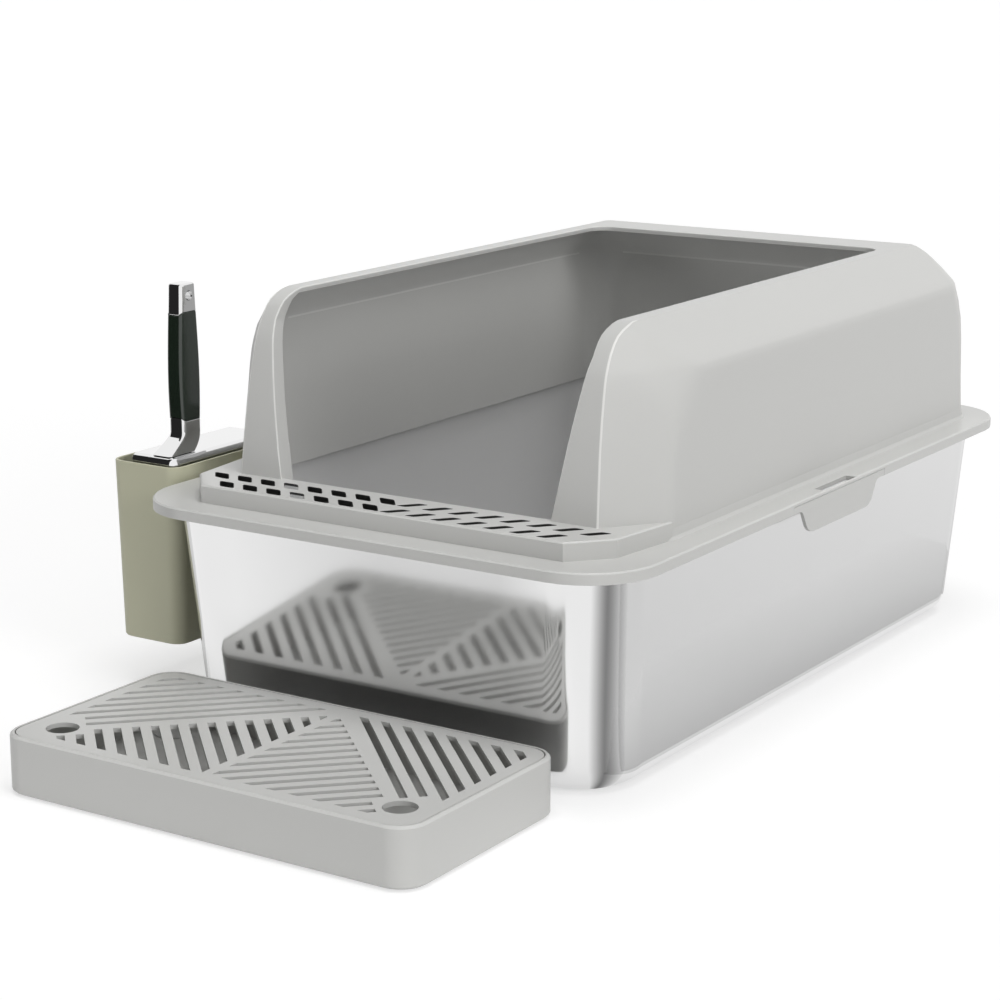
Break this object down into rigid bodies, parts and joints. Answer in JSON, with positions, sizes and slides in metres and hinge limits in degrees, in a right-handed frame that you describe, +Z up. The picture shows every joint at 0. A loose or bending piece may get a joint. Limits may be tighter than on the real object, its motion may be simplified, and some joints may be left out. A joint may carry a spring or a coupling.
{
  "type": "stainless steel litter box",
  "caption": "Open-top steel litter pan with a seated plastic guard, side latches, a step with lift-out grate, and a scoop in a hook-on holder.",
  "frame": {"origin": "centre of the steel pan's flat underside, on the floor", "axes": "+Z up, +Y from the entry and step towards the closed back, +X to the right seen from the entry"},
  "size_m": [0.4377, 0.7539, 0.2838],
  "materials": {
    "pan_steel": "satin mirror",
    "guard_plastic": "fine satin moulding, light warm grey",
    "holder_plastic": "fine satin moulding, sage",
    "scoop_chrome": "polished",
    "grip_plastic": "soft dark green",
    "step_plastic": "fine satin moulding, light warm grey",
    "foot_rubber": "matte"
  },
  "bodies": {
    "pan": {"stainless_pan": "pan_steel"},
    "guard": {"guard": "guard_plastic"},
    "latch_r": {"latch_right": "guard_plastic"},
    "latch_l": {"latch_left": "guard_plastic"},
    "holder": {"scoop_holder": "holder_plastic"},
    "scoop": {"scoop_blade": "scoop_chrome", "scoop_neck": "scoop_chrome", "scoop_grip": "grip_plastic", "scoop_end_cap": "scoop_chrome"},
    "step": {"step_tray": "step_plastic", "step_foot_1": "foot_rubber", "step_foot_2": "foot_rubber", "step_foot_3": "foot_rubber", "step_foot_4": "foot_rubber"},
    "grate": {"step_grate": "step_plastic"}
  },
  "joints": [
    {"name": "guard_lift", "type": "slide", "parent": "pan", "child": "guard", "axis": [0, 0, 1], "range_m": [0, 0.15]},
    {"name": "latch_right_flex", "type": "hinge", "parent": "guard", "child": "latch_r", "pos_m": [0.18745, 0, 0.1487], "axis": [0, -1, 0], "range_deg": [0, 12], "stiffness_Nm_per_rad": 0.3},
    {"name": "latch_left_flex", "type": "hinge", "parent": "guard", "child": "latch_l", "pos_m": [-0.18745, 0, 0.1487], "axis": [0, 1, 0], "range_deg": [0, 12], "stiffness_Nm_per_rad": 0.3},
    {"name": "holder_lift", "type": "slide", "parent": "guard", "child": "holder", "axis": [0, 0, 1], "range_m": [0, 0.04]},
    {"name": "scoop_lift", "type": "slide", "parent": "holder", "child": "scoop", "axis": [0, 0, 1], "range_m": [0, 0.16]},
    {"name": "step_slide", "type": "slide", "parent": "pan", "child": "step", "axis": [0, -1, 0], "range_m": [-0.015, 0.15]},
    {"name": "grate_lift", "type": "slide", "parent": "step", "child": "grate", "axis": [0, 0, 1], "range_m": [0, 0.06]}
  ]
}
